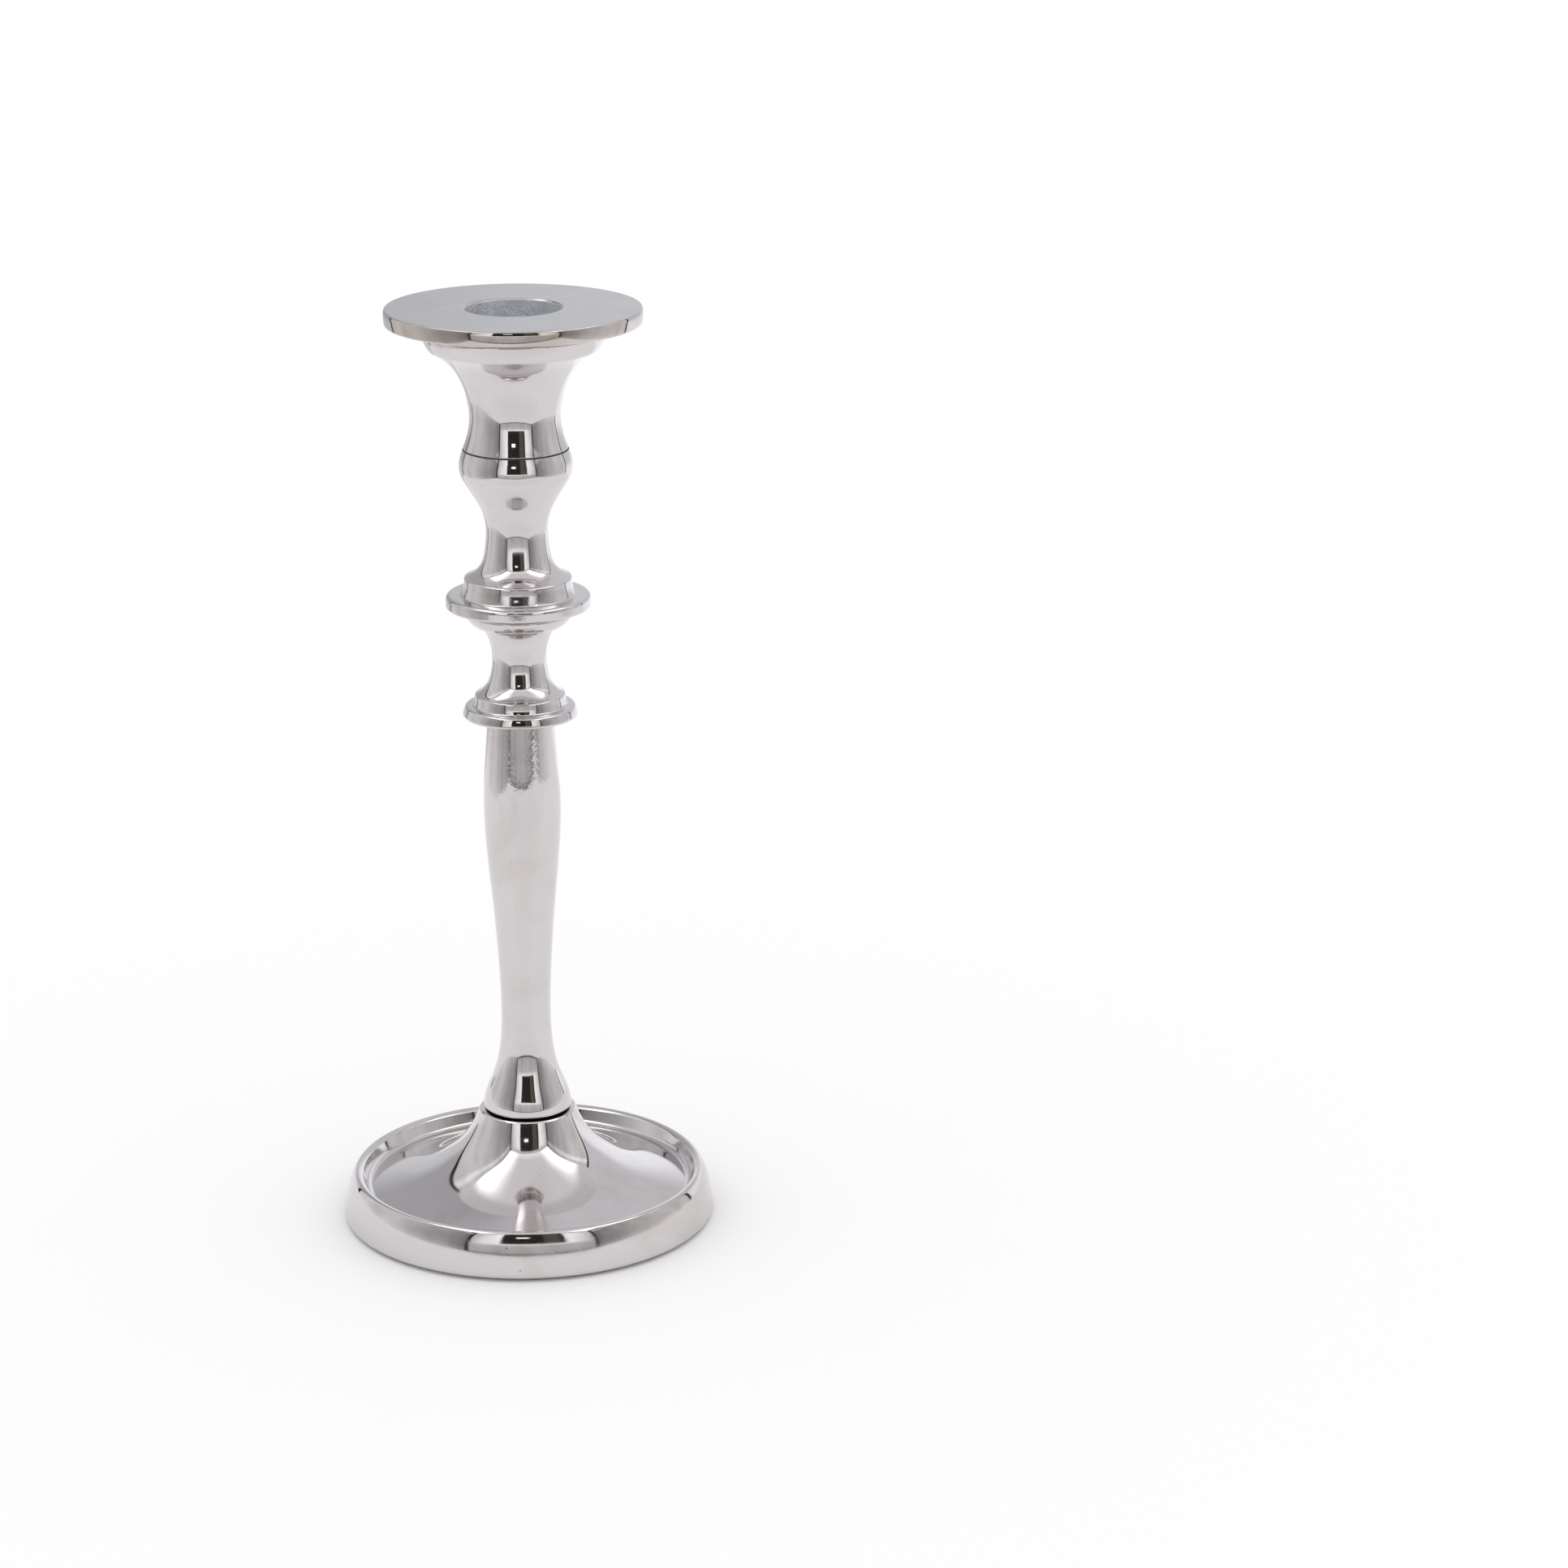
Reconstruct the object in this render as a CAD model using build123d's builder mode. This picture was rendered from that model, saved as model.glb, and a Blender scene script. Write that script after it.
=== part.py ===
from build123d import *
import os

# Turned and cast candlestick: four polished castings stacked on a threaded rod, which is pulled tight
# by a nut hidden in the hollow foot.  The origin is the centre of the felt's underside and +Z is up.
# Every outline is drawn in the XZ plane as (radius, height) and turned about the Z axis.

# ---- Driving dimensions, mm -------------------------------------------------------------------
overall_height = 225.0
candle_diameter = 22.0
candle_room = 0.25

# Foot
felt_thickness = 0.8
felt_radius = 43.0
foot_radius = 45.1
rim_top = 11.75
rim_crest_radius = 41.9
rim_lower_edge = 0.6
dish_corner_radius = 38.3
dish_corner_height = 8.1
board_thickness = 2.0
board_radius = 41.6
board_chamfer = 0.4
board_clearance = 0.1
board_ledge = 1.0
board_ledge_height = 1.6
wall = 2.4
foot_seam = 27.4
foot_neck_radius = 11.8
seat_chamfer_height = 0.3
seat_chamfer_width = 0.3
seam_radius = 8.6
shadow_gap = 0.4
web_underside = 21.0
web_radius = 11.2

# Stem
stem_top = 126.9
stem_base_radius = 10.7
stem_waist_radius = 6.0
stem_swell_radius = 9.23
stem_top_radius = 7.87
stem_lower_edge = 0.55

# Knop section
lower_collar_radius = 13.65
lower_collar_top = 129.6
lower_collar_edge = 0.6
lower_drum_radius = 10.75
lower_drum_top = 132.4
lower_drum_edge = 0.5
lower_drum_foot_radius = 11.1
lower_drum_fillet_height = 0.3
lower_drum_fillet_width = 0.5
spool_radius = 6.45
spool_middle = 141.2
ring_bottom = 148.7
ring_radius = 12.9
ring_top = 152.55
ring_edge = 0.45
ring_step_radius = 11.8
upper_collar_radius = 17.15
upper_collar_bottom = 153.7
upper_collar_top = 156.7
collar_lower_edge = 0.5
collar_upper_edge = 0.95
upper_drum_radius = 12.75
upper_drum_top = 161.0
upper_drum_edge = 0.6
knop_waist_radius = 7.36
bulb_radius = 13.38
bulb_seam = 191.8
bulb_seam_radius = 12.4
bulb_slope = 0.05

# Candle cup
cup_waist_radius = 10.7
plate_radius = 30.1
plate_thickness = 3.6
plate_edge_bottom = 221.8
plate_edge_middle = 224.03
plate_edge_top = 224.8
step_ring_radius = 21.5
step_ring_top = 219.7
step_ring_edge = 0.4
step_ring_width = 1.2
socket_depth = 16.0
socket_chamfer = 0.4

# Joints between the castings
spigot_length = 3.0
recess_depth = 3.5
spigot_clearance = 0.1
foot_spigot_radius = 6.0
collar_spigot_radius = 5.0
bulb_spigot_radius = 7.0
edge_break = 0.2

# M6 hardware
rod_radius = 2.9
thread_root_radius = 2.45
thread_pitch = 1.0
rod_bore_radius = 3.3
tapped_radius = 2.95
rod_bottom = 9.8
rod_top = 202.0
lower_thread_length = 17.0
upper_thread_length = 14.0
tapped_depth = 12.0
washer_radius = 9.0
washer_thickness = 1.6
washer_chamfer = 0.3
spring_washer_radius = 5.9
spring_washer_bore_radius = 3.2
spring_washer_split = 1.2
spring_washer_split_angle = 20
nut_across_flats = 10.0
nut_height = 5.0
nut_clearance = 0.05

# Heights and radii that follow from the driving dimensions
foot_bottom = felt_thickness
socket_radius = candle_diameter / 2 + candle_room
plate_bottom = overall_height - plate_thickness
washer_top = web_underside
spring_washer_top = washer_top - washer_thickness
nut_top = spring_washer_top - washer_thickness
gap_top = foot_seam + shadow_gap
board_seat = foot_bottom + board_thickness
board_recess_radius = board_radius + board_clearance

os.makedirs("parts", exist_ok=True)


def write(piece, name):
    """Label a finished piece and write it as its own STEP file."""
    piece.part.label = name
    export_step(piece.part, f"parts/{name}.step")


# ---- Felt pad: covers the board and the underside of the rim ------------------------------------
with BuildPart() as felt_pad:
    with BuildSketch(Plane.XY):
        Circle(felt_radius)
    extrude(amount=felt_thickness)
write(felt_pad, "felt_pad")

# ---- Base board: closes the hollow foot, level with the rim's underside -------------------------
with BuildPart() as base_board:
    with BuildSketch(Plane.XY.offset(foot_bottom)):
        Circle(board_radius)
    extrude(amount=board_thickness)
    chamfer(base_board.edges().group_by(Axis.Z)[-1], board_chamfer)
write(base_board, "base_board")

# ---- Foot: tapered rim, wax dish and flared cone, hollow underneath -----------------------------
ledge_radius = board_radius - board_ledge
foot_recess_radius = foot_spigot_radius + spigot_clearance
with BuildPart() as foot:
    with BuildSketch(Plane.XZ):
        with BuildLine():
            # Underside of the rim and the rounded lower edge of the outer wall
            Line((board_recess_radius, foot_bottom), (foot_radius - rim_lower_edge, foot_bottom))
            TangentArc(
                (foot_radius - rim_lower_edge, foot_bottom),
                (foot_radius, foot_bottom + rim_lower_edge),
                tangent=(1, 0),
            )
            # Outer wall leaning in, then over the crest of the rim
            outer_wall = Spline(
                (foot_radius, foot_bottom + rim_lower_edge),
                (44.25, 7.0),
                (43.5, 9.6),
                (42.6, 11.3),
                tangents=((-0.105, 1), (-0.68, 1)),
            )
            TangentArc(outer_wall @ 1, (rim_crest_radius, rim_top), tangent=(-0.68, 1))
            crest = TangentArc((rim_crest_radius, rim_top), (40.5, 11.1), tangent=(-1, 0))
            # Inner side of the rim and the hollow corner of the dish
            inner_side = Line(crest @ 1, (39.7, 9.2))
            ThreePointArc(inner_side @ 1, (39.2, 8.4), (dish_corner_radius, dish_corner_height))
            # Dish floor sweeping up into the cone
            dish = Spline(
                (dish_corner_radius, dish_corner_height),
                (32.6, 9.42),
                (28.4, 10.7),
                (24.4, 12.55),
                (20.75, 14.9),
                (17.35, 17.7),
                (14.6, 21.1),
                (12.55, 25.0),
                (foot_neck_radius, foot_seam - seat_chamfer_height),
                tangents=((-1, 0.23), (-0.32, 1)),
            )
            # Seat for the stem, with a recess that centres it
            Polyline(
                dish @ 1,
                (foot_neck_radius - seat_chamfer_width, foot_seam),
                (foot_recess_radius, foot_seam),
                (foot_recess_radius, foot_seam - recess_depth),
                (rod_bore_radius, foot_seam - recess_depth),
                (rod_bore_radius, web_underside),
                (web_radius, web_underside),
            )
            # Hollow inside the cone and under the dish
            hollow = Spline(
                (web_radius, web_underside),
                (15.4, 16.9),
                (21.2, 11.9),
                (28.6, 7.3),
                (37.6, dish_corner_height - wall),
                tangents=((0.5, -1), (1, -0.08)),
            )
            Polyline(
                hollow @ 1,
                (ledge_radius, board_seat + board_ledge_height),
                (ledge_radius, board_seat),
                (board_recess_radius, board_seat),
                (board_recess_radius, foot_bottom),
            )
        make_face()
    revolve(axis=Axis.Z)
write(foot, "foot")

# ---- Stem: baluster between the foot and the lower collar ----------------------------------------
with BuildPart() as stem:
    with BuildSketch(Plane.XZ):
        with BuildLine():
            # Lower spigot, seat, shadow gap and rounded bottom edge
            Polyline(
                (rod_bore_radius, foot_seam - spigot_length),
                (foot_spigot_radius, foot_seam - spigot_length),
                (foot_spigot_radius, foot_seam),
                (seam_radius, foot_seam),
                (seam_radius, gap_top),
                (stem_base_radius - stem_lower_edge, gap_top),
            )
            TangentArc(
                (stem_base_radius - stem_lower_edge, gap_top),
                (stem_base_radius, gap_top + stem_lower_edge),
                tangent=(1, 0),
            )
            # Bell base, waist, swell and taper to the collar
            Spline(
                (stem_base_radius, gap_top + stem_lower_edge),
                (10.3, 30.8),
                (9.6, 33.0),
                (8.2, 36.35),
                (6.9, 41.0),
                (stem_waist_radius, 52.5),
                (6.45, 65.5),
                (7.55, 80.3),
                (8.86, 95.0),
                (stem_swell_radius, 103.9),
                (9.17, 108.0),
                (9.05, 110.8),
                (8.65, 116.3),
                (8.22, 122.1),
                (stem_top_radius, stem_top),
                tangents=((-0.05, 1), (-0.073, 1)),
            )
            # Upper seat and spigot
            Polyline(
                (stem_top_radius, stem_top),
                (collar_spigot_radius, stem_top),
                (collar_spigot_radius, stem_top + spigot_length),
                (rod_bore_radius, stem_top + spigot_length),
                (rod_bore_radius, foot_seam - spigot_length),
            )
        make_face()
    revolve(axis=Axis.Z)
write(stem, "stem")

# ---- Knop section: lower collar, spool, wide collar, flared knop and lower half of the bulb ------
collar_recess_radius = collar_spigot_radius + spigot_clearance
bulb_recess_radius = bulb_spigot_radius + spigot_clearance
with BuildPart() as knop_section:
    with BuildSketch(Plane.XZ):
        with BuildLine():
            # Underside of the lower collar
            Polyline(
                (rod_bore_radius, stem_top + recess_depth),
                (collar_recess_radius, stem_top + recess_depth),
                (collar_recess_radius, stem_top),
                (lower_collar_radius - lower_collar_edge, stem_top),
            )
            # Leaning edge of the lower collar
            TangentArc(
                (lower_collar_radius - lower_collar_edge, stem_top),
                (lower_collar_radius, stem_top + lower_collar_edge),
                tangent=(1, 0),
            )
            collar_side = Spline(
                (lower_collar_radius, stem_top + lower_collar_edge),
                (13.42, 128.5),
                (13.15, 129.2),
                tangents=((-0.1, 1), (-0.52, 1)),
            )
            collar_top = TangentArc(collar_side @ 1, (12.6, lower_collar_top), tangent=(-0.52, 1))
            # Lower drum, flaring a little towards the collar
            Line(collar_top @ 1, (lower_drum_foot_radius + lower_drum_fillet_width, lower_collar_top))
            TangentArc(
                (lower_drum_foot_radius + lower_drum_fillet_width, lower_collar_top),
                (lower_drum_foot_radius, lower_collar_top + lower_drum_fillet_height),
                tangent=(-1, 0),
            )
            Spline(
                (lower_drum_foot_radius, lower_collar_top + lower_drum_fillet_height),
                (10.92, 130.5),
                (lower_drum_radius, lower_drum_top - lower_drum_edge),
                tangents=((-0.5, 1), (-0.06, 1)),
            )
            TangentArc(
                (lower_drum_radius, lower_drum_top - lower_drum_edge),
                (lower_drum_radius - lower_drum_edge, lower_drum_top),
                tangent=(0, 1),
            )
            # Spool
            spool = Spline(
                (lower_drum_radius - lower_drum_edge, lower_drum_top),
                (8.75, 133.65),
                (7.78, 134.9),
                (7.05, 136.8),
                (spool_radius, spool_middle),
                (7.0, 145.0),
                (8.8, ring_bottom),
                tangents=((-1, 0.5), (0.75, 1)),
            )
            # Step ring under the wide collar
            ring_ledge = Line(spool @ 1, (9.2, ring_bottom))
            ring_side = ThreePointArc(ring_ledge @ 1, (11.4, 149.95), (ring_radius, ring_top - ring_edge))
            ring_corner = TangentArc(ring_side @ 1, (ring_radius - ring_edge, ring_top), tangent=(0, 1))
            Polyline(
                ring_corner @ 1,
                (ring_step_radius, ring_top),
                (ring_step_radius, upper_collar_bottom),
                (upper_collar_radius - collar_lower_edge, upper_collar_bottom),
            )
            # Edge of the wide collar
            TangentArc(
                (upper_collar_radius - collar_lower_edge, upper_collar_bottom),
                (upper_collar_radius, upper_collar_bottom + collar_lower_edge),
                tangent=(1, 0),
            )
            Line(
                (upper_collar_radius, upper_collar_bottom + collar_lower_edge),
                (upper_collar_radius, upper_collar_top - collar_upper_edge),
            )
            TangentArc(
                (upper_collar_radius, upper_collar_top - collar_upper_edge),
                (upper_collar_radius - collar_upper_edge, upper_collar_top),
                tangent=(0, 1),
            )
            # Upper drum, sweeping out to the collar
            step = Line((upper_collar_radius - collar_upper_edge, upper_collar_top), (13.9, upper_collar_top))
            drum_fillet = TangentArc(step @ 1, (13.48, 156.98), tangent=(-1, 0))
            drum_flare = Spline(
                drum_fillet @ 1,
                (12.98, 158.3),
                (upper_drum_radius, 159.7),
                tangents=((-0.45, 1), (0, 1)),
            )
            Line(drum_flare @ 1, (upper_drum_radius, upper_drum_top - upper_drum_edge))
            TangentArc(
                (upper_drum_radius, upper_drum_top - upper_drum_edge),
                (upper_drum_radius - upper_drum_edge, upper_drum_top),
                tangent=(0, 1),
            )
            # Flared knop and lower half of the bulb
            knop = Spline(
                (upper_drum_radius - upper_drum_edge, upper_drum_top),
                (10.6, 161.85),
                (9.3, 163.05),
                (8.33, 164.9),
                (7.66, 168.0),
                (knop_waist_radius, 172.5),
                (8.04, 176.4),
                (9.8, 180.0),
                (12.1, 183.7),
                (13.08, 185.6),
                (bulb_radius, 187.3),
                (13.06, 189.8),
                (bulb_seam_radius + bulb_slope, bulb_seam - edge_break),
                tangents=((-1, 0.5), (-0.36, 1)),
            )
            # Joint face, recess and rod bore
            Polyline(
                knop @ 1,
                (bulb_seam_radius - edge_break, bulb_seam),
                (bulb_recess_radius, bulb_seam),
                (bulb_recess_radius, bulb_seam - recess_depth),
                (rod_bore_radius, bulb_seam - recess_depth),
                (rod_bore_radius, stem_top + recess_depth),
            )
        make_face()
    revolve(axis=Axis.Z)
write(knop_section, "knop_section")

# ---- Candle cup: upper half of the bulb, flared neck, step ring, plate and socket ----------------
spigot_bottom = bulb_seam - spigot_length
with BuildPart() as candle_cup:
    with BuildSketch(Plane.XZ):
        with BuildLine():
            # Tapped bore, spigot and joint face
            Polyline(
                (0, bulb_seam + tapped_depth),
                (tapped_radius, bulb_seam + tapped_depth),
                (tapped_radius, spigot_bottom),
                (bulb_spigot_radius, spigot_bottom),
                (bulb_spigot_radius, bulb_seam),
                (bulb_seam_radius - edge_break, bulb_seam),
                (bulb_seam_radius - bulb_slope, bulb_seam + edge_break),
            )
            # Upper half of the bulb and the flared neck
            neck = Spline(
                (bulb_seam_radius - bulb_slope, bulb_seam + edge_break),
                (11.33, 195.0),
                (cup_waist_radius, 199.2),
                (11.0, 202.5),
                (12.38, 207.5),
                (15.72, 212.5),
                (20.0, 215.55),
                tangents=((-0.4, 1), (1, 0.6)),
            )
            # Step ring, leaning out towards the plate
            ThreePointArc(neck @ 1, (20.95, 217.2), (step_ring_radius, step_ring_top - step_ring_edge))
            TangentArc(
                (step_ring_radius, step_ring_top - step_ring_edge),
                (step_ring_radius - step_ring_edge, step_ring_top),
                tangent=(0.115, 1),
            )
            Polyline(
                (step_ring_radius - step_ring_edge, step_ring_top),
                (step_ring_radius - step_ring_width, step_ring_top),
                (step_ring_radius - step_ring_width, plate_bottom),
                (29.52, plate_bottom),
            )
            # Edge of the plate, slightly barrelled and rounded more tightly at the top
            TangentArc((29.52, plate_bottom), (29.97, plate_edge_bottom), tangent=(1, 0))
            ThreePointArc((29.97, plate_edge_bottom), (30.067, 222.9), (plate_radius, plate_edge_middle))
            TangentArc((plate_radius, plate_edge_middle), (29.943, plate_edge_top), tangent=(0, 1))
            corner = TangentArc((29.943, plate_edge_top), (29.648, overall_height), tangent=(-0.391, 0.921))
            # Top face, chamfered mouth and socket
            Polyline(
                corner @ 1,
                (socket_radius + socket_chamfer, overall_height),
                (socket_radius, overall_height - socket_chamfer),
                (socket_radius, overall_height - socket_depth),
                (0, overall_height - socket_depth),
                (0, bulb_seam + tapped_depth),
            )
        make_face()
    revolve(axis=Axis.Z)
write(candle_cup, "candle_cup")

# ---- Tie rod: screwed into the cup, nut on the lower end ------------------------------------------
with BuildPart() as tie_rod:
    with BuildSketch(Plane.XZ):
        with BuildLine():
            thread = [(0, rod_bottom), (thread_root_radius, rod_bottom)]
            for turn in range(int(lower_thread_length / thread_pitch)):
                thread.append((rod_radius, rod_bottom + (turn + 0.5) * thread_pitch))
                thread.append((thread_root_radius, rod_bottom + (turn + 1) * thread_pitch))
            upper_start = rod_top - upper_thread_length
            thread.append((thread_root_radius, upper_start))
            for turn in range(int(upper_thread_length / thread_pitch)):
                thread.append((rod_radius, upper_start + (turn + 0.5) * thread_pitch))
                thread.append((thread_root_radius, upper_start + (turn + 1) * thread_pitch))
            thread.append((0, rod_top))
            Polyline(*thread, close=True)
        make_face()
    revolve(axis=Axis.Z)
write(tie_rod, "tie_rod")

# ---- Flat washer under the web of the foot ---------------------------------------------------------
with BuildPart() as washer:
    with BuildSketch(Plane.XY.offset(washer_top - washer_thickness)):
        Circle(washer_radius)
        Circle(rod_bore_radius, mode=Mode.SUBTRACT)
    extrude(amount=washer_thickness)
    chamfer(washer.edges().group_by(Axis.Z)[0].sort_by(SortBy.RADIUS)[-1], washer_chamfer)
write(washer, "washer")

# ---- Spring washer, pressed flat, with its split ---------------------------------------------------
with BuildPart() as spring_washer:
    with BuildSketch(Plane.XY.offset(spring_washer_top - washer_thickness)):
        Circle(spring_washer_radius)
        Circle(spring_washer_bore_radius, mode=Mode.SUBTRACT)
        with Locations(((spring_washer_radius + spring_washer_bore_radius) / 2, 0)):
            Rectangle(
                1.5 * (spring_washer_radius - spring_washer_bore_radius),
                spring_washer_split,
                rotation=spring_washer_split_angle,
                mode=Mode.SUBTRACT,
            )
    extrude(amount=washer_thickness)
write(spring_washer, "spring_washer")

# ---- Hex nut ------------------------------------------------------------------------------------------
with BuildPart() as nut:
    with BuildSketch(Plane.XY.offset(nut_top - nut_height)):
        RegularPolygon(nut_across_flats / 2, 6, major_radius=False)
        Circle(rod_radius + nut_clearance, mode=Mode.SUBTRACT)
    extrude(amount=nut_height)
write(nut, "nut")
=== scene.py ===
import math

import bmesh
import bpy
import numpy as np
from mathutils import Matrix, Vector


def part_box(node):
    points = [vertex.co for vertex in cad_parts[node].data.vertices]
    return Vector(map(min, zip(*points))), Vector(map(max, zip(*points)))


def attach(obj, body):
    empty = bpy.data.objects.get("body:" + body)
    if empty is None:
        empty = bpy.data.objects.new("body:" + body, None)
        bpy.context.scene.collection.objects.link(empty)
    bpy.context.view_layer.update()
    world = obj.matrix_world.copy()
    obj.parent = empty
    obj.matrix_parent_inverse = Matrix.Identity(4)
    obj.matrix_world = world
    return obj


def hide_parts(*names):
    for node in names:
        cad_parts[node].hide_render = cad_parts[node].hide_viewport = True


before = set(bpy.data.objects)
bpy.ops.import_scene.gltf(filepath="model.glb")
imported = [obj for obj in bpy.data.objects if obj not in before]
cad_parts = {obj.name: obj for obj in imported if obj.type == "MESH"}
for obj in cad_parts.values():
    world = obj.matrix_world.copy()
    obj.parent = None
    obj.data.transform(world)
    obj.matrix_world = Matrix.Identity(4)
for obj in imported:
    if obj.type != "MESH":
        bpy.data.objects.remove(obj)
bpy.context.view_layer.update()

# Turned candlestick in polished nickel.  Outlines are (radius, height) in millimetres, with the
# origin at the centre of the felt's underside, and are turned about the Z axis; everything that
# goes to Blender is in metres.
MM = 0.001


# ---- Dimensions, mm: read from the frame, with the small steps and edges named here -------------
def top_of(node):
    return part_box(node)[1].z / MM


def bottom_of(node):
    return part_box(node)[0].z / MM


def radius_of(node):
    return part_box(node)[1].x / MM


overall_height = top_of("candle_cup")
plate_radius = radius_of("candle_cup")
bulb_seam = top_of("knop_section")
upper_collar_radius = radius_of("knop_section")
stem_top = bottom_of("knop_section")
stem_base_radius = radius_of("stem")
foot_seam = top_of("foot")
foot_radius = radius_of("foot")
foot_bottom = bottom_of("foot")
felt_radius = radius_of("felt_pad")
felt_thickness = top_of("felt_pad")
board_radius = radius_of("base_board")
board_top = top_of("base_board")

# Foot
rim_top = 11.75
rim_lower_edge = 0.6
rim_crest_radius = 41.9
dish_corner_radius = 38.3
dish_corner_height = 8.1
board_clearance = 0.1
board_ledge = 1.0
board_ledge_height = 1.6
wall = 2.4
foot_neck_radius = 11.8
seat_chamfer = 0.3
seat_polish = 0.9         # how far the polish of the foot's seat reaches under the stem
seam_radius = 8.6
web_underside = 21.0
web_radius = 11.2

# Stem
stem_lower_edge = 0.55
stem_waist_radius = 6.0
stem_swell_radius = 9.23
stem_top_radius = 7.87

# Knop section
lower_collar_radius = 13.65
lower_collar_top = 129.6
lower_collar_edge = 0.6
collar_seat_radius = 7.8  # where the polish under the lower collar ends
lower_drum_radius = 10.75
lower_drum_top = 132.4
lower_drum_edge = 0.5
lower_drum_foot_radius = 11.1
lower_drum_fillet_height = 0.3
lower_drum_fillet_width = 0.5
spool_radius = 6.45
spool_middle = 141.2
ring_bottom = 148.7
ring_radius = 12.9
ring_top = 152.55
ring_edge = 0.45
ring_step_radius = 11.8
upper_collar_bottom = 153.7
upper_collar_top = 156.7
collar_lower_edge = 0.5
collar_upper_edge = 0.95
upper_drum_radius = 12.75
upper_drum_top = 161.0
upper_drum_edge = 0.6
knop_waist_radius = 7.36
bulb_radius = 13.38
bulb_seam_radius = 12.4
bulb_slope = 0.05

# Candle cup
cup_waist_radius = 10.7
plate_thickness = 3.6
step_ring_radius = 21.5
step_ring_top = 219.7
step_ring_edge = 0.4
step_ring_width = 1.2
plate_edge_bottom = 221.8
plate_edge_middle = 224.03
plate_edge_top = 224.8
socket_radius = 11.25
socket_depth = 16.0
socket_chamfer = 0.4

# Joints between the castings
spigot_length = 3.0
recess_depth = 3.5
spigot_clearance = 0.1
foot_spigot_radius = 6.0
collar_spigot_radius = 5.0
bulb_spigot_radius = 7.0
edge_break = 0.2
shadow_gap = 0.4
rod_bore_radius = 3.3
tapped_radius = 2.95
tapped_depth = 12.0

# Heights and radii that follow
plate_bottom = overall_height - plate_thickness
gap_top = foot_seam + shadow_gap
board_recess_radius = board_radius + board_clearance
board_ledge_radius = board_radius - board_ledge
foot_recess_radius = foot_spigot_radius + spigot_clearance
collar_recess_radius = collar_spigot_radius + spigot_clearance
bulb_recess_radius = bulb_spigot_radius + spigot_clearance

# Meshes
SEGMENTS = 192                # round the axis
ANGLES = [k * 2 * math.pi / SEGMENTS for k in range(SEGMENTS)]
ON_AXIS = 1e-6                # anything nearer is on the axis, mm
CURVE_STEP = 0.5              # along a curve, mm
ARC_STEP = math.radians(9)
FLAT_STEP = 1.6               # along a straight, mm
LAST_STEP = 0.6 * FLAT_STEP   # least length of a straight's last step, mm
CORNER_STEP = 0.15            # from a corner to the loop that holds it, mm
SHARP_TURN = math.radians(14)
FOLDED_TURN = 2.6             # a corner that turns more is buffed as if it turned this much, radians
EDGE_RADIUS = 0.16            # softness of a buffed corner, mm
EDGE_SHARE = 0.4              # most of each neighbouring stretch that a buffed corner takes
EDGE_STEPS = 5                # across a buffed corner


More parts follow.
